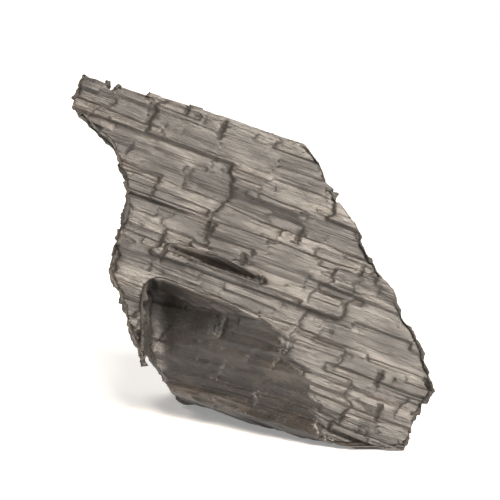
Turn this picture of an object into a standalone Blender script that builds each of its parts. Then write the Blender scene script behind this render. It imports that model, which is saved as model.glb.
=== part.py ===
"""Charcoal lump: one chip of hardwood charcoal, standing on a flat break.

The chip is a block of wood bounded by the planes it split and snapped along. A pocket has spalled from its
front face, its beak is notched, and layers have dropped off its back. Its skin follows the wood: the laths of
each growth ring snapped at their own lengths at the two ends, and furrows follow the grain on the long faces.
The open cracks come last. Lengths are in millimetres until the final step, which scales the mesh to metres.
The base lies on z = 0, and the box around the chip is centred on x = y = 0.
"""

import math

import bmesh
import bpy
from mathutils import Matrix, Vector, noise

METRES_PER_MM = 0.001
BLANK_SIZE = 80.0  # side of the cube that each block is cut from

# Wood directions. The front face leans back, and the grain runs down to the right across it.
LEAN = math.radians(30.0)
GRAIN_DIP = 0.33
FRONT_FOOT_Y = -8.0
FRONT = Vector((0.0, -math.cos(LEAN), math.sin(LEAN)))
GRAIN = Vector((1.0, -GRAIN_DIP * math.tan(LEAN), -GRAIN_DIP)).normalized()
ACROSS = FRONT.cross(GRAIN)  # up the front face, from one growth ring to the next
if ACROSS.z < 0:
    ACROSS = -ACROSS


def on_front(x, z):
    """The point of the front face at this x and this height."""
    return Vector((x, FRONT_FOOT_Y + z * math.tan(LEAN), z))


# A solid is a list of planes: a point on each plane, and the direction that its side of the solid faces.
RIGHT_END = (
    (on_front(7.2, 13.0), Vector((0.80, 0.40, 0.30))),
    (on_front(10.9, 6.4), Vector((0.90, 0.20, 0.24))),
    (on_front(11.0, 1.7), Vector((0.80, 0.10, -0.69))),
)
LEFT_END = (
    (on_front(-10.15, 13.4), Vector((-0.95, 0.10, -0.34))),
    (on_front(-7.1, 5.2), Vector((-0.80, -0.10, -0.55))),
)
LONG_FACES = (
    (on_front(0.0, 0.0), FRONT),
    (on_front(-0.4, 18.5), Vector((0.32, 0.36, 0.90))),  # top
    (on_front(-0.2, 2.0), Vector((-0.34, -0.36, -0.86))),  # front foot
    (Vector((-2.0, 7.6, 14.0)), Vector((0.10, 0.92, 0.38))),  # back, upper
    (Vector((0.0, 9.4, 6.0)), Vector((-0.20, 0.96, -0.18))),  # back, lower
    (Vector((7.0, 5.6, 6.0)), Vector((0.62, 0.78, 0.10))),  # back right corner
    (Vector((-8.0, 6.4, 10.0)), Vector((-0.76, 0.62, -0.10))),  # back left corner
)
BASE = ((Vector((0.0, 0.0, 0.0)), Vector((0.0, 0.0, -1.0))),)
CHIP = LONG_FACES + RIGHT_END + LEFT_END + BASE

# The pocket in the front face: a spall whose floor turns away from the front about a crease.
CREASE_TOP = on_front(1.6, 7.4)
CREASE_FOOT = on_front(4.2, 1.6)
POCKET_TURN = math.radians(27.0)
POCKET_FLOOR = Matrix.Rotation(-POCKET_TURN, 3, (CREASE_TOP - CREASE_FOOT).normalized()) @ FRONT
POCKET = (
    (CREASE_TOP, -POCKET_FLOOR),
    (on_front(-2.4, 8.2), ACROSS),
    (on_front(-5.9, 8.0), Vector((-1.0, 0.0, 0.1))),
)
# The notch under the beak, at the top left.
NOTCH = (
    (on_front(-9.9, 17.0), Vector((0.60, -0.06, 0.78))),
    (on_front(-8.5, 14.9), Vector((0.92, -0.10, 0.34))),
    (on_front(-8.5, 12.2), Vector((0.92, -0.10, -0.30))),
)
# What has dropped off the back: a layer from the upper half, and a sliver from the lower left.
BACK_STEP = (
    (Vector((0.0, 5.6, 12.6)), -ACROSS),
    (Vector((0.0, 5.0, 14.0)), Vector((-0.18, -0.95, 0.20))),
    (Vector((-5.4, 6.0, 14.0)), Vector((-1.0, 0.1, 0.2))),
)
BACK_SPALL = (
    (Vector((-3.0, 7.4, 5.0)), Vector((0.34, -0.92, 0.10))),
    (Vector((-3.0, 7.4, 8.4)), ACROSS),
)
SPALLS = (POCKET, NOTCH, BACK_STEP, BACK_SPALL)

# The roof of a crack touches this many planes, at these shares of its half length from the middle.
ROOF_TOUCHES = (-0.85, -0.35, 0.35, 0.85)


def crack(mouth, outward, along, length, height, depth):
    """A crack that opens outward: a straight sill through the mouth, and a roof arched along its length.

    The roof comes down to the sill at both ends, and with depth.
    """
    up = outward.cross(along).normalized()
    planes = [(mouth, -up)]
    for share in ROOF_TOUCHES:
        touch = mouth + share * length / 2 * along + (1 - share * share) * height * up
        planes.append((touch, up + 4 * share * height / length * along - height / depth * outward))
    return planes


CRACKS = (
    # the fissure over the pocket
    crack(on_front(-1.9, 10.2), FRONT, GRAIN, length=9.0, height=0.55, depth=1.6),
    # the split that parts the tip of the beak
    crack(on_front(-8.6, 20.0), Vector((0.3, 0.0, 1.0)), FRONT, length=7.0, height=0.25, depth=1.3),
    # a drying check up the right end, one along the top and one along the back
    crack(Vector((8.2, 1.2, 8.4)), GRAIN, ACROSS, length=7.0, height=0.6, depth=3.6),
    crack(Vector((0.6, 4.4, 16.4)), ACROSS, GRAIN, length=7.0, height=0.6, depth=2.2),
    crack(Vector((1.0, 9.4, 8.6)), -FRONT, GRAIN, length=8.0, height=0.9, depth=3.5),
)

# The skin: how far each kind of roughness reaches below the planes above.
RING_THICKNESS = 2.7
RING_WANDER = 0.35
LATH_WIDTH = 3.1
STEP_RISE_SHARE = 0.22  # the share of a ring or a lath over which one step rises to the next
END_STEP = 0.9
END_REACH = 3.5  # how deep behind an end the steps are still felt
FURROW_DEPTH = 0.22
FURROW_SPACING = 0.8
ROUGH_DEPTH = 0.35
ROUGH_SIZE = 2.2
STRETCH_ALONG_GRAIN = 4.0
FLAT_BASE_HEIGHT = 2.0  # the skin fades out towards the base over this height
VOXEL = 0.28
TRIANGLES_KEPT = 0.12
BASE_TRIM = 0.12  # sliced off, so that the base is one true plane

CHARCOAL_COLOUR = (0.022, 0.019, 0.017, 1.0)
CHARCOAL_ROUGHNESS = 0.55


def share_of(value, whole):
    """value as a share of whole, held between 0 and 1."""
    return min(1.0, max(0.0, value / whole))


def place(name, mesh):
    obj = bpy.data.objects.new(name, mesh)
    bpy.context.scene.collection.objects.link(obj)
    return obj


def slice_off(bm, point, outward):
    """Removes what lies outside one plane and closes the hole."""
    everything = bm.verts[:] + bm.edges[:] + bm.faces[:]
    bmesh.ops.bisect_plane(bm, geom=everything, plane_co=point, plane_no=outward, clear_outer=True)
    bmesh.ops.holes_fill(bm, edges=[edge for edge in bm.edges if edge.is_boundary])
    bmesh.ops.recalc_face_normals(bm, faces=bm.faces[:])


def block(name, planes):
    """The convex solid that these planes bound."""
    bm = bmesh.new()
    bmesh.ops.create_cube(bm, size=BLANK_SIZE)
    for point, outward in planes:
        slice_off(bm, point, outward)
    mesh = bpy.data.meshes.new(name)
    bm.to_mesh(mesh)
    bm.free()
    return place(name, mesh)


def apply_modifiers(obj):
    """Replaces the object's mesh with what its modifiers make of it."""
    graph = bpy.context.evaluated_depsgraph_get()
    mesh = bpy.data.meshes.new_from_object(obj.evaluated_get(graph))
    obj.modifiers.clear()
    obj.data = mesh


def cut_away(chip, planes):
    """Subtracts the block that these planes bound."""
    cutter = block("cutter", planes)
    cut = chip.modifiers.new("cut", "BOOLEAN")
    cut.operation = "DIFFERENCE"
    cut.solver = "EXACT"
    cut.object = cutter
    apply_modifiers(chip)
    bpy.data.objects.remove(cutter)


def remesh_evenly(chip):
    remesh = chip.modifiers.new("even", "REMESH")
    remesh.mode = "VOXEL"
    remesh.voxel_size = VOXEL
    apply_modifiers(chip)


def thin_out(chip):
    thin = chip.modifiers.new("thin", "DECIMATE")
    thin.ratio = TRIANGLES_KEPT
    apply_modifiers(chip)


def in_wood(point):
    """The point as distances along the grain, out through the front face and across the rings."""
    return Vector((point.dot(GRAIN), point.dot(FRONT), point.dot(ACROSS)))


def step_of(position):
    """The number of the step at this position, and how far the rise to the next one has got there."""
    number = math.floor(position)
    rise = max(0.0, (position - number - 1.0) / STEP_RISE_SHARE + 1.0)
    return number, rise


def lath_shortfall(point, side):
    """How far the lath of the ring at this point snapped short of the end planes."""
    wood = in_wood(point)
    wander = RING_WANDER * noise.noise(wood / (2 * RING_THICKNESS))
    ring, ring_rise = step_of(wood.z / RING_THICKNESS + wander)
    lath, lath_rise = step_of(wood.y / LATH_WIDTH - wander)
    near = [noise.cell(Vector((ring + i + 0.5, lath + j + 0.5, side))) for i in (0, 1) for j in (0, 1)]
    low = near[0] + (near[1] - near[0]) * lath_rise
    high = near[2] + (near[3] - near[2]) * lath_rise
    return END_STEP * (0.5 + 0.5 * (low + (high - low) * ring_rise))


def end_shift(point):
    """The move along the grain that gives the two ends their steps."""
    shift = Vector()
    for side, planes in ((1.0, RIGHT_END), (-1.0, LEFT_END)):
        behind = min((plane_point - point).dot(outward.normalized()) for plane_point, outward in planes)
        share = 1.0 - share_of(behind, END_REACH)
        shift -= side * share * lath_shortfall(point, 5.0 * side) * GRAIN
    return shift


def skin_depth(point):
    """How far the skin lies below the fracture plane at this point."""
    wood = in_wood(point)
    stretched = Vector((wood.x / STRETCH_ALONG_GRAIN, wood.y, wood.z))
    furrow = FURROW_DEPTH * abs(noise.noise(stretched / FURROW_SPACING))
    rough = ROUGH_DEPTH * (0.5 + 0.5 * noise.noise(stretched / ROUGH_SIZE))
    return rough + furrow


def wear_skin(chip):
    """Steps the ends and sinks the rest of the skin, less near the base."""
    mesh = chip.data
    normals = [Vector(normal.vector) for normal in mesh.vertex_normals]
    for vertex, normal in zip(mesh.vertices, normals):
        point = vertex.co.copy()
        move = end_shift(point) - skin_depth(point) * normal
        vertex.co = point + share_of(point.z, FLAT_BASE_HEIGHT) * move


def flatten_base(chip):
    bm = bmesh.new()
    bm.from_mesh(chip.data)
    slice_off(bm, (0.0, 0.0, BASE_TRIM), (0.0, 0.0, -1.0))
    bm.to_mesh(chip.data)
    bm.free()


def to_metres(chip):
    """Moves the bottom middle of the chip's box to the origin and scales to metres."""
    spans = [(min(axis), max(axis)) for axis in zip(*(vertex.co for vertex in chip.data.vertices))]
    middle = Vector((sum(spans[0]) / 2, sum(spans[1]) / 2, spans[2][0]))
    chip.data.transform(Matrix.Scale(METRES_PER_MM, 4) @ Matrix.Translation(-middle))


def charcoal():
    material = bpy.data.materials.new("charcoal")
    material.use_nodes = True
    surface = material.node_tree.nodes["Principled BSDF"]
    surface.inputs["Base Color"].default_value = CHARCOAL_COLOUR
    surface.inputs["Roughness"].default_value = CHARCOAL_ROUGHNESS
    return material


def build():
    for old in list(bpy.data.objects):
        bpy.data.objects.remove(old)
    chip = block("charcoal_lump", CHIP)
    for spall in SPALLS:
        cut_away(chip, spall)
    remesh_evenly(chip)
    wear_skin(chip)
    remesh_evenly(chip)
    thin_out(chip)
    for planes in CRACKS:
        cut_away(chip, planes)
    flatten_base(chip)
    to_metres(chip)
    chip.data.materials.clear()
    chip.data.materials.append(charcoal())


build()
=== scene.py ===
"""Charcoal lump, the looks: a finely broken skin, a charcoal material, and a small studio.

The skin starts as a copy of the CAD chip, remeshed finely. It is carved in the wood's own directions: torn
layers, fibres, vessels and rings on the long faces, and stepped, porous end grain on the two broken ends.
Carving only takes material away, and the finished skin is fitted to the CAD chip's box. Lengths are in
millimetres while carving, and in metres in the scene.
"""

import math

import bmesh
import bpy
import numpy as np
from mathutils import Matrix, Vector
from mathutils.bvhtree import BVHTree


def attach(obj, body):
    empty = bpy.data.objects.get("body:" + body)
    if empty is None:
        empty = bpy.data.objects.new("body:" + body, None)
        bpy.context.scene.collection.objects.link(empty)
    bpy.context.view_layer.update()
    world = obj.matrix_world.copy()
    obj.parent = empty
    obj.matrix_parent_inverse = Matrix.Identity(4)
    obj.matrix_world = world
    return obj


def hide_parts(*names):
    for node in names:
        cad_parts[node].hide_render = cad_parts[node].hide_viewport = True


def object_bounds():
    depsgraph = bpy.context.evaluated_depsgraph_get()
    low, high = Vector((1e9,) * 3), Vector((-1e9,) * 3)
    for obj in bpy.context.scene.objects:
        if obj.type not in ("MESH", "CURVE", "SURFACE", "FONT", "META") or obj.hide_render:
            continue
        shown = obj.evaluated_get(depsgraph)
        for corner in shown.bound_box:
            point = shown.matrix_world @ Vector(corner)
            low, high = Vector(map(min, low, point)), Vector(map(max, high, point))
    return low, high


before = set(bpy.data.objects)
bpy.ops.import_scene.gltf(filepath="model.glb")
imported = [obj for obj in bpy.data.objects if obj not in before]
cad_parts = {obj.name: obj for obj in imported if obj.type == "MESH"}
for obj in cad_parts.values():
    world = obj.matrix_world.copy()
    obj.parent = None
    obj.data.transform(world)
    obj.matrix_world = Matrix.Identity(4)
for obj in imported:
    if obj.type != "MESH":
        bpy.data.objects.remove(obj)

CAD_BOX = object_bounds()
MM_PER_METRE = 1000.0

# Wood directions, as in the CAD chip: its front face leans back, and the grain runs down to the right.
LEAN = math.radians(30.0)
GRAIN_DIP = 0.33
FRONT = Vector((0.0, -math.cos(LEAN), math.sin(LEAN)))
GRAIN = Vector((1.0, -GRAIN_DIP * math.tan(LEAN), -GRAIN_DIP)).normalized()
ACROSS = GRAIN.cross(-FRONT).normalized()
TO_WOOD = np.array((GRAIN, FRONT, ACROSS))  # takes a point to (along the grain, out, across the rings)

# Skin mesh. A pass averages each point once with its neighbours.
VOXEL = 0.085
SMOOTH_PASSES = 16
ARRIS_PASSES = 70
LEVEL_PASSES = 16
CRACK_REACH = 1.2  # walls nearer to each other than this are carved less
CRACK_CARVING = 0.35  # the share of the carving that is left where they touch
HULL_SKIP = 10  # every tenth point is enough to find the hull
MOST_TRIANGLES = 190_000

# What a point of the skin is. Each pair is where a feature starts and where it is complete.
END_TURN = (0.50, 0.75)  # of a face towards the grain, as a cosine, where it becomes a broken end
SNAPPED_TURN = (0.12, 0.35)  # the same for a fine step, beyond the turn of the face it lies on
FACES_OUT = (0.4, 0.6)  # the share of a face's turn that is out, and not across the rings
ARRIS_RISE = (0.02, 0.25)  # over the skin with its arrises rounded
HOLLOW_SINK = (0.0, 0.16)  # under the levelled skin
# recesses this deep under the hull are painted dark: painted shade
RECESS_SHADE_DEPTH = (0.5, 2.0)  # under the hull

# Carving of the long faces, in millimetres. Sizes are along the grain, out, and across the rings.
RING_THICKNESS = 2.7
RING_WANDER = 0.5  # of a ring
RING_FURROW_DEPTH = 0.10
RING_FURROW_WIDTH = 0.50
SLAB_SIZE = np.array((12.0, 3.4, 3.4))
SLAB_DEPTH = 0.42
SLAT_SIZE = np.array((8.0, 1.5, 1.5))
SLAT_DEPTH = 0.22
SLIVER_SIZE = np.array((3.6, 0.50, 0.50))
SLIVER_DEPTH = 0.14
TORN_EDGE = 0.13  # the width over which one torn strip steps down to the next
STRIP_TILT = 1.6  # how much a strip's tilt adds across it, as a share of the depth
STRIP_WANDER = 0.7  # of a strip's width
STRIP_RAGGED = 0.12  # of a strip's length, at its ends
STRIP_STAGGER = 8.0  # lengths: each strip's own shift along the grain is up to this
FIBRE_SIZE = np.array((4.0, 0.30, 0.30))
FIBRE_DEPTH = 0.05
VESSEL_SIZE = np.array((6.0, 0.55, 0.55))
VESSEL_RADIUS = 0.22  # of the vessel size
VESSEL_DEPTH = 0.14
CHECK_SIZE = np.array((0.14, 1.7, 1.7))
CHECK_SHARE = 0.010  # of the cells that hold a check
CHECK_JAG = 0.4
CHECK_DEPTH = 0.26
# Carving of the broken ends.
LATH_SIZE = np.array((9.0, 1.3, 0.95))
LATH_DEPTH = 0.34
SPLINTER_SIZE = np.array((9.0, 0.45, 0.36))
SPLINTER_DEPTH = 0.14
PORE_SPACING = 0.42
PORE_RADIUS = 0.13
PORE_DEPTH = 0.20
CRUMB_DEPTH = 0.12
# Wear of the arrises.
BITE_SIZE = 0.9
BITE_PATCHES = (0.45, 0.75)  # of the noise: where a bite starts, and where it is complete
BITE_DEPTH = 0.40


# ---------------------------------------------------------------- noise

def hashed(cells, seed):
    """A repeatable number from 0 to 1 for each row of three whole numbers."""
    x, y, z = (cells[:, i].astype(np.int64) for i in range(3))
    mixed = (x * 374761393 + y * 668265263 + z * 1274126177 + seed * 974711) & 0xFFFFFFFF
    mixed = ((mixed ^ (mixed >> 13)) * 1103515245) & 0xFFFFFFFF
    mixed = ((mixed ^ (mixed >> 15)) * 668265263) & 0xFFFFFFFF
    return ((mixed ^ (mixed >> 16)) & 0xFFFFFF) / float(0x1000000)


def smooth_step(low, high, values):
    share = np.clip((values - low) / (high - low), 0.0, 1.0)
    return share * share * (3.0 - 2.0 * share)


def soft_noise(points, seed):
    """Smooth noise from 0 to 1, with one lump per unit cell."""
    floor = np.floor(points)
    share = smooth_step(0.0, 1.0, points - floor)
    total = np.zeros(len(points))
    for corner in np.ndindex(2, 2, 2):
        weight = np.ones(len(points))
        for axis, step in enumerate(corner):
            weight *= share[:, axis] if step else 1.0 - share[:, axis]
        total += weight * hashed(floor + corner, seed)
    return total


def layered_noise(points, seed, octaves=3):
    """Soft noise with finer octaves added, from 0 to 1."""
    total = np.zeros(len(points))
    weight = 1.0
    for octave in range(octaves):
        total += weight * soft_noise(points * 2.0 ** octave, seed + octave)
        weight *= 0.5
    return total / (2.0 - 2.0 * weight)


def nearest_dot(points, seed, share):
    """Distance to the nearest of a scatter of dots, one in this share of the unit cells."""
    floor = np.floor(points)
    nearest = np.full(len(points), 9.0)
    for offset in np.ndindex(3, 3, 3):
        cell = floor + np.array(offset) - 1.0
        dot = cell + np.stack([hashed(cell, seed + i) for i in range(3)], axis=1)
        distance = np.linalg.norm(points - dot, axis=1)
        kept = hashed(cell, seed + 3) < share
        nearest = np.where(kept & (distance < nearest), distance, nearest)
    return nearest


def torn_strips(wood, size, seed):
    """How deep each strip of torn wood lies, from about 0 to 1.

    The strips run along the grain, break off across it, and each has a tilt of its own.
    """
    wander = STRIP_WANDER * layered_noise(wood / (size * (2.2, 2.5, 2.5)), seed, 2)
    ragged = STRIP_RAGGED * layered_noise(wood / (size * (0.4, 0.22, 0.22)), seed + 3, 3)
    rows = wood / size + wander[:, None] * (0.0, 1.0, 1.0)
    floor = np.floor(rows)
    rise = smooth_step(1.0 - TORN_EDGE / size, 1.0, rows - floor)
    depth = np.zeros(len(wood))
    for step in np.ndindex(2, 2):
        strip = floor + (0, *step)
        strip[:, 0] = 0
        along = rows[:, 0] + ragged + STRIP_STAGGER * hashed(strip, seed + 6)
        strip[:, 0] = np.floor(along)
        end = smooth_step(1.0 - TORN_EDGE / size[0], 1.0, along - strip[:, 0])
        near, far = hashed(strip, seed + 7), hashed(strip + (1, 0, 0), seed + 7)
        level = near + (far - near) * end
        weight = np.ones(len(wood))
        for axis in (1, 2):
            from_middle = rows[:, axis] - strip[:, axis] - 0.5
            level += STRIP_TILT * (hashed(strip, seed + 7 + axis) - 0.5) * from_middle
            weight *= rise[:, axis] if step[axis - 1] else 1.0 - rise[:, axis]
        depth += weight * level
    return depth


# ---------------------------------------------------------------- mesh helpers

def points_of(mesh):
    flat = np.empty(len(mesh.vertices) * 3)
    mesh.vertices.foreach_get("co", flat)
    return flat.reshape(-1, 3)


def set_points(mesh, points):
    mesh.vertices.foreach_set("co", points.ravel())
    mesh.update()


def normals_of(mesh):
    flat = np.empty(len(mesh.vertices) * 3)
    mesh.vertex_normals.foreach_get("vector", flat)
    return flat.reshape(-1, 3)


def smoothed(mesh, values, passes):
    """The values after each has been averaged with its neighbours this many times."""
    ends = np.empty(len(mesh.edges) * 2, dtype=np.int64)
    mesh.edges.foreach_get("vertices", ends)
    first, second = ends.reshape(-1, 2).T
    count = np.bincount(ends, minlength=len(values)).astype(float)
    values = values.copy()
    for _ in range(passes):
        for axis in range(values.shape[1]):
            column = values[:, axis]
            total = np.bincount(first, column[second], len(column))
            total += np.bincount(second, column[first], len(column))
            values[:, axis] = 0.5 * column + 0.5 * total / count
    return values


def apply_modifiers(obj):
    graph = bpy.context.evaluated_depsgraph_get()
    mesh = bpy.data.meshes.new_from_object(obj.evaluated_get(graph))
    obj.modifiers.clear()
    obj.data = mesh


def drop_crumbs(mesh):
    """Removes the loose bits that remeshing leaves in narrow cracks: all but the largest connected piece."""
    bm = bmesh.new()
    bm.from_mesh(mesh)
    unseen = set(bm.verts)
    pieces = []
    while unseen:
        piece = [unseen.pop()]
        for vert in piece:
            neighbours = {edge.other_vert(vert) for edge in vert.link_edges} & unseen
            unseen -= neighbours
            piece.extend(neighbours)
        pieces.append(piece)
    pieces.sort(key=len)
    crumbs = [vert for piece in pieces[:-1] for vert in piece]
    bmesh.ops.delete(bm, geom=crumbs, context="VERTS")
    bm.to_mesh(mesh)
    bm.free()


def store(mesh, name, values):
    """Keeps one number per vertex for the material."""
    layer = mesh.attributes.new(name, "FLOAT", "POINT")
    layer.data.foreach_set("value", values.astype(np.float32))


# ---------------------------------------------------------------- carving

def ring_of(wood):
    """The ring at each point, counted across the rings, as a number with a fraction."""
    wander = layered_noise(wood / (14.0, 6.0, 6.0), 21, 2)
    return wood[:, 2] / RING_THICKNESS + RING_WANDER * wander


def grooves(wood, early):
    """Torn strips, fibres, vessels and checks, as deep as they reach."""
    torn = SLAB_DEPTH * torn_strips(wood, SLAB_SIZE, 211) + SLAT_DEPTH * torn_strips(wood, SLAT_SIZE, 11)
    torn += SLIVER_DEPTH * torn_strips(wood, SLIVER_SIZE, 111)
    fibre = FIBRE_DEPTH * np.abs(2 * layered_noise(wood / FIBRE_SIZE, 31, 2) - 1)
    vessel = nearest_dot(wood / VESSEL_SIZE, 41, 0.8)
    vessel = VESSEL_DEPTH * (0.25 + 0.75 * early) * smooth_step(VESSEL_RADIUS, 0.3 * VESSEL_RADIUS, vessel)
    jag = CHECK_JAG * layered_noise(wood / (6.0, 1.3, 1.3), 91, 2)
    jagged = wood + jag[:, None] * (1.0, 0.0, 0.0)
    check = CHECK_DEPTH * smooth_step(0.5, 0.2, nearest_dot(jagged / CHECK_SIZE, 92, CHECK_SHARE))
    return torn + fibre + vessel + check


def long_face_depth(wood, facing):
    """How deep the skin of a long face lies: its grooves follow the face, whether it faces out or across."""
    ring = ring_of(wood)
    from_furrow = np.abs(ring - np.round(ring)) * RING_THICKNESS
    early = np.exp(-((from_furrow / RING_FURROW_WIDTH) ** 2))
    out, across = np.abs(facing[:, 1]), np.abs(facing[:, 2])
    faces_out = smooth_step(*FACES_OUT, out / (out + across + 1e-6))
    depth = RING_FURROW_DEPTH * early
    for share, in_face in ((faces_out, (1, 0, 1)), (1.0 - faces_out, (1, 1, 0))):
        depth += share * grooves(wood * in_face, early)
    return depth


def end_depth(wood):
    """How deep the skin of a broken end lies: laths of uneven length, crumbs and pores."""
    snapped = LATH_DEPTH * torn_strips(wood * (0, 1, 1), LATH_SIZE, 51)
    splinter = SPLINTER_DEPTH * torn_strips(wood * (0, 1, 1), SPLINTER_SIZE, 151)
    crumb = CRUMB_DEPTH * layered_noise(wood / 0.35, 61, 2)
    pore = nearest_dot(wood / (1.2, PORE_SPACING, PORE_SPACING), 71, 0.6)
    pore = PORE_DEPTH * smooth_step(PORE_RADIUS / PORE_SPACING, 0.0, pore)
    return snapped + splinter + crumb + pore


def sunk_under_hull(points):
    """How far each point lies under the convex hull of them all."""
    hull = bmesh.new()
    for point in points[::HULL_SKIP]:
        hull.verts.new(point)
    bmesh.ops.convex_hull(hull, input=hull.verts)
    tree = BVHTree.FromBMesh(hull)
    hull.free()
    return np.array([tree.find_nearest(Vector(point))[3] for point in points])


def openness(skin, points, normals):
    """1 in the open, falling to CRACK_CARVING where another wall is close in front, as inside a crack."""
    tree = BVHTree.FromObject(skin, bpy.context.evaluated_depsgraph_get())
    hits = (tree.ray_cast(point + 0.01 * normal, normal, CRACK_REACH)
            for point, normal in zip(map(Vector, points), map(Vector, normals)))
    gaps = np.array([CRACK_REACH if gap is None else gap for _, _, _, gap in hits])
    share = smoothed(skin.data, smooth_step(0.0, CRACK_REACH, gaps)[:, None], 3)[:, 0]
    return CRACK_CARVING + (1.0 - CRACK_CARVING) * share


def carve(skin):
    """Carves the skin and keeps what the material needs: end grain, arris, hollow, ring, and the depth under
    the hull where recesses are painted dark as shade.
    """
    mesh = skin.data
    rough = points_of(mesh)
    points = smoothed(mesh, rough, SMOOTH_PASSES)
    points[:, 2] = np.maximum(points[:, 2], rough[:, 2].min())
    set_points(mesh, points)
    normals = smoothed(mesh, normals_of(mesh), 2)
    normals /= np.linalg.norm(normals, axis=1)[:, None]
    rounded = smoothed(mesh, points, ARRIS_PASSES)
    arris = smooth_step(*ARRIS_RISE, ((points - rounded) * normals).sum(axis=1))

    wood = points @ TO_WOOD.T
    across_grain = smooth_step(*END_TURN, np.abs(normals @ TO_WOOD[0]))
    long_face = long_face_depth(wood, normals @ TO_WOOD.T)
    depth = (1 - across_grain) * long_face + across_grain * end_depth(wood)
    depth *= openness(skin, points, normals)
    bite = BITE_DEPTH * arris * smooth_step(*BITE_PATCHES, layered_noise(points / BITE_SIZE, 81, 3))
    carved = points - (depth + bite)[:, None] * normals
    set_points(mesh, carved)

    turn = np.abs(normals_of(mesh) @ TO_WOOD[0]) - np.abs(normals @ TO_WOOD[0])
    snapped = smoothed(mesh, smooth_step(*SNAPPED_TURN, turn)[:, None], 1)[:, 0]
    level = smoothed(mesh, carved, LEVEL_PASSES)
    store(mesh, "end_grain", np.maximum(across_grain, snapped))
    store(mesh, "arris", arris)
    store(mesh, "hollow", smooth_step(*HOLLOW_SINK, ((level - carved) * normals).sum(axis=1)))
    store(mesh, "ring", ring_of(wood))
    # painted shade: how deep each point lies in a recess under the hull, for darkening the colour there
    store(mesh, "recess_shade", smooth_step(*RECESS_SHADE_DEPTH, sunk_under_hull(points)))


def fit_to_box(mesh, low, high):
    """Stretches the mesh slightly, so that its box is this one."""
    points = points_of(mesh)
    was_low, was_high = points.min(axis=0), points.max(axis=0)
    set_points(mesh, low + (points - was_low) * (high - low) / (was_high - was_low))


def make_skin(node):
    """The finely carved chip that stands for the CAD node."""
    skin = bpy.data.objects.new("charcoal_skin", node.data.copy())
    bpy.context.scene.collection.objects.link(skin)
    skin.data.transform(Matrix.Scale(MM_PER_METRE, 4))
    box = points_of(skin.data)
    low, high = box.min(axis=0), box.max(axis=0)

    remesh = skin.modifiers.new("even", "REMESH")
    remesh.mode = "VOXEL"
    remesh.voxel_size = VOXEL
    apply_modifiers(skin)
    drop_crumbs(skin.data)
    carve(skin)
    triangles = 2 * len(skin.data.polygons)
    if triangles > MOST_TRIANGLES:
        thin = skin.modifiers.new("thin", "DECIMATE")
        thin.ratio = MOST_TRIANGLES / triangles
        apply_modifiers(skin)
    fit_to_box(skin.data, low, high)
    skin.data.transform(Matrix.Scale(1 / MM_PER_METRE, 4))
    skin.data.shade_smooth()
    return skin


# ---------------------------------------------------------------- material

CHAR_BLACK = (0.006, 0.0047, 0.0038)
CHAR_BROWN = (0.016, 0.0125, 0.010)
CHAR_GREY = (0.060, 0.048, 0.039)
# dust on the arrises, partly a painted edge highlight
DUST_AND_EDGE_HIGHLIGHT = (0.15, 0.13, 0.112)
# painted shade in narrow hollows: how far their colour goes towards black
HOLLOW_SHADE_SHARE = 0.5  # of the way to black


class Nodes:
    """Short ways to add nodes to one material."""

    def __init__(self, name):
        self.material = bpy.data.materials.new(name)
        self.material.use_nodes = True
        self.tree = self.material.node_tree
        self.surface = self.tree.nodes["Principled BSDF"]

    def add(self, kind, **values):
        node = self.tree.nodes.new("ShaderNode" + kind)
        for name, value in values.items():
            setattr(node, name, value)
        return node

    def link(self, source, target):
        if isinstance(source, (int, float)):
            target.default_value = source
        else:
            self.tree.links.new(source, target)

    def math(self, operation, *values, clamp=False):
        node = self.add("Math", operation=operation, use_clamp=clamp)
        for socket, value in zip(node.inputs, values):
            self.link(value, socket)
        return node.outputs[0]

    def stretch(self, vector, sizes):
        """The vector measured in lumps of these sizes along its three axes."""
        node = self.add("Mapping", vector_type="POINT")
        node.inputs["Scale"].default_value = [1 / size for size in sizes]
        self.link(vector, node.inputs["Vector"])
        return node.outputs[0]

    def noise(self, vector, sizes, detail=3.0, rough=0.55):
        node = self.add("TexNoise")
        node.inputs["Scale"].default_value = 1.0
        node.inputs["Detail"].default_value = detail
        node.inputs["Roughness"].default_value = rough
        self.link(self.stretch(vector, sizes), node.inputs["Vector"])
        return node.outputs["Fac"]

    def cells(self, vector, sizes):
        """Distance to the nearest of a scatter of dots, in cells of these sizes."""
        node = self.add("TexVoronoi")
        node.inputs["Scale"].default_value = 1.0
        self.link(self.stretch(vector, sizes), node.inputs["Vector"])
        return node.outputs["Distance"]

    def ramp(self, factor, *stops):
        """A colour or grey that goes through these (position, value) stops."""
        node = self.add("ValToRGB")
        ramp = node.color_ramp
        while len(ramp.elements) < len(stops):
            ramp.elements.new(0.5)
        for element, (position, value) in zip(ramp.elements, stops):
            element.position = position
            element.color = (*value, 1.0) if isinstance(value, tuple) else (value, value, value, 1.0)
        self.link(factor, node.inputs["Fac"])
        return node.outputs["Color"]

    def mix(self, factor, first, second):
        node = self.add("Mix", data_type="RGBA")
        self.link(factor, node.inputs["Factor"])
        for socket, value in ((node.inputs["A"], first), (node.inputs["B"], second)):
            if isinstance(value, tuple):
                socket.default_value = (*value, 1.0)
            else:
                self.link(value, socket)
        return node.outputs["Result"]

    def stored(self, name):
        return self.add("Attribute", attribute_name=name).outputs["Fac"]


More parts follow.
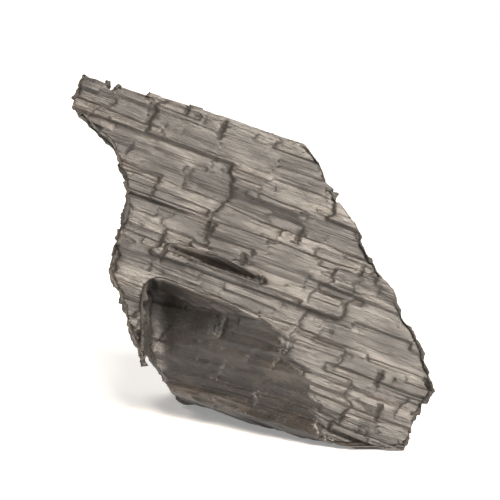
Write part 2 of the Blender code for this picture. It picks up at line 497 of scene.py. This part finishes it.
def charcoal():
    """Black-brown char with a graphite sheen on the split faces and sooty, matt end grain. Recesses, narrow
    hollows and end-grain pores are darkened as painted shade, and the arrises carry dust that is partly a
    painted edge highlight.
    """
    nodes = Nodes("charcoal")
    link, surface = nodes.link, nodes.surface

    # wood coordinates, in millimetres
    place = nodes.add("TexCoord").outputs["Object"]
    turned = nodes.add("Mapping", vector_type="POINT")
    turned.inputs["Rotation"].default_value = Matrix(TO_WOOD).to_euler()
    turned.inputs["Scale"].default_value = [1.0, 1.0, 1.0]
    link(place, turned.inputs["Vector"])
    wood = nodes.stretch(turned.outputs[0], [1 / MM_PER_METRE] * 3)

    end, arris, hollow, ring, recess_shade = map(nodes.stored, ("end_grain", "arris", "hollow", "ring", "recess_shade"))
    streak = nodes.noise(wood, (5.0, 0.42, 0.42), detail=4)
    patch = nodes.noise(wood, (3.0, 1.4, 1.4), detail=3)
    fibre = nodes.noise(wood, (2.2, 0.09, 0.09), detail=3)
    grit = nodes.noise(wood, (0.10, 0.10, 0.10), detail=4, rough=0.7)
    late = nodes.ramp(nodes.math("FRACT", ring), (0.30, 0.0), (0.72, 1.0), (0.80, 1.0), (0.95, 0.0))
    pore = nodes.cells(wood, (1.5, 0.26, 0.26))
    pore = nodes.ramp(pore, (0.14, 1.0), (0.34, 0.0))

    tone = nodes.math("MULTIPLY_ADD", streak, 0.30, nodes.math("MULTIPLY", patch, 0.50))
    tone = nodes.math("MULTIPLY_ADD", fibre, 0.20, tone)
    tone = nodes.math("MULTIPLY_ADD", late, 0.10, tone)
    face = nodes.ramp(tone, (0.42, CHAR_BLACK), (0.54, CHAR_BROWN), (0.68, CHAR_GREY))
    sooty = nodes.ramp(grit, (0.3, CHAR_BLACK), (0.7, (0.026, 0.021, 0.017)))
    # painted shade in the pores: the pores on the end grain are painted near-black
    sooty = nodes.mix(pore, sooty, (0.003, 0.0024, 0.002))
    colour = nodes.mix(end, face, sooty)
    # dust in patches on the arrises, partly a painted edge highlight
    dust_and_highlight = nodes.math("MULTIPLY", arris, nodes.ramp(grit, (0.42, 0.0), (0.62, 0.8)))
    colour = nodes.mix(dust_and_highlight, colour, DUST_AND_EDGE_HIGHLIGHT)
    # painted shade: narrow hollows are darkened towards black
    colour = nodes.mix(nodes.math("MULTIPLY", hollow, HOLLOW_SHADE_SHARE), colour, CHAR_BLACK)
    # painted shade: recesses deep under the hull are painted near-black
    recess_shade_colour = nodes.ramp(tone, (0.44, (0.001, 0.0007, 0.0005)), (0.62, (0.016, 0.0118, 0.0088)))
    colour = nodes.mix(nodes.math("MULTIPLY", recess_shade, 0.9), colour, recess_shade_colour)
    link(colour, surface.inputs["Base Color"])

    sheen = nodes.ramp(tone, (0.44, 0.52), (0.62, 0.30))
    rough = nodes.mix(nodes.math("MULTIPLY", recess_shade, 0.6), sheen, (0.62, 0.62, 0.62))
    rough = nodes.mix(end, rough, (0.75, 0.75, 0.75))
    rough = nodes.mix(hollow, rough, (0.80, 0.80, 0.80))
    link(rough, surface.inputs["Roughness"])
    surface.inputs["IOR"].default_value = 1.8

    height = nodes.math("MULTIPLY", fibre, nodes.math("SUBTRACT", 1.0, end))
    height = nodes.math("MULTIPLY_ADD", grit, 0.5, height)
    height = nodes.math("MULTIPLY_ADD", nodes.math("MULTIPLY", pore, end), -1.2, height)
    bump = nodes.add("Bump")
    bump.inputs["Strength"].default_value = 0.7
    bump.inputs["Distance"].default_value = 0.00007
    link(height, bump.inputs["Height"])
    link(bump.outputs["Normal"], surface.inputs["Normal"])
    return nodes.material


def floor_material():
    nodes = Nodes("floor")
    nodes.surface.inputs["Base Color"].default_value = (0.80, 0.80, 0.80, 1.0)
    nodes.surface.inputs["Roughness"].default_value = 1.0
    nodes.surface.inputs["Specular IOR Level"].default_value = 0.0
    nodes.surface.inputs["Emission Color"].default_value = (1.0, 1.0, 1.0, 1.0)
    nodes.surface.inputs["Emission Strength"].default_value = 0.26
    return nodes.material


# ---------------------------------------------------------------- studio

SOFTBOX_DISTANCE = 0.50


def aim(obj, place, target):
    obj.location = place
    obj.rotation_euler = (Vector(target) - Vector(place)).to_track_quat("-Z", "Y").to_euler()


def direction(azimuth, elevation):
    """From the object towards a light or the camera: azimuth 0 is in front, 90 is to the right."""
    a, e = math.radians(azimuth), math.radians(elevation)
    return Vector((math.sin(a) * math.cos(e), -math.cos(a) * math.cos(e), math.sin(e)))


def add_softbox(name, azimuth, elevation, size, power, colour):
    light = bpy.data.lights.new(name, "AREA")
    light.shape = "SQUARE"
    light.size = size
    light.energy = power
    light.color = colour
    obj = bpy.data.objects.new(name, light)
    obj.visible_camera = False
    bpy.context.scene.collection.objects.link(obj)
    middle = sum(CAD_BOX, Vector()) / 2
    aim(obj, middle + SOFTBOX_DISTANCE * direction(azimuth, elevation), middle)


def make_world(seen, ambient):
    """White where the camera sees it, and a dimmer fill for the light it gives."""
    world = bpy.data.worlds.new("studio")
    world.use_nodes = True
    tree = world.node_tree
    background = tree.nodes["Background"]
    background.inputs["Color"].default_value = (1.0, 1.0, 1.0, 1.0)
    path = tree.nodes.new("ShaderNodeLightPath")
    strength = tree.nodes.new("ShaderNodeMath")
    strength.operation = "MULTIPLY_ADD"
    tree.links.new(path.outputs["Is Camera Ray"], strength.inputs[0])
    strength.inputs[1].default_value = seen - ambient
    strength.inputs[2].default_value = ambient
    tree.links.new(strength.outputs[0], background.inputs["Strength"])
    bpy.context.scene.world = world


def make_floor(half_width):
    mesh = bpy.data.meshes.new("floor")
    corners = [(-half_width, -half_width), (half_width, -half_width), (half_width, half_width),
               (-half_width, half_width)]
    mesh.from_pydata([(x, y, 0.0) for x, y in corners], [], [(0, 1, 2, 3)])
    mesh.materials.append(floor_material())
    floor = bpy.data.objects.new("floor", mesh)
    bpy.context.scene.collection.objects.link(floor)
    return floor


def make_camera(elevation, lens, share):
    """Looks along +Y from a little above, with the object's longest side this share of the frame."""
    data = bpy.data.cameras.new("camera")
    data.lens = lens
    data.clip_start = 0.01
    data.clip_end = 20.0
    camera = bpy.data.objects.new("camera", data)
    bpy.context.scene.collection.objects.link(camera)
    low, high = CAD_BOX
    width = max(high - low) / share
    distance = width / (data.sensor_width / lens)
    middle = (low + high) / 2
    aim(camera, middle + distance * direction(0.0, elevation), middle)
    bpy.context.scene.camera = camera


def make_studio():
    make_world(seen=1.0, ambient=0.10)
    add_softbox("key", azimuth=23.0, elevation=47.0, size=0.27, power=5.6, colour=(1.0, 0.90, 0.79))
    add_softbox("fill", azimuth=-125.0, elevation=35.0, size=0.20, power=0.7, colour=(1.0, 0.92, 0.84))
    add_softbox("rim", azimuth=150.0, elevation=40.0, size=0.30, power=2.2, colour=(1.0, 0.96, 0.91))
    make_floor(half_width=0.15)
    make_camera(elevation=13.0, lens=200.0, share=0.72)
    bpy.context.scene.view_settings.view_transform = "Standard"


skin = make_skin(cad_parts["charcoal_lump"])
skin.data.materials.clear()
skin.data.materials.append(charcoal())
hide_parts("charcoal_lump")
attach(skin, "root")
make_studio()
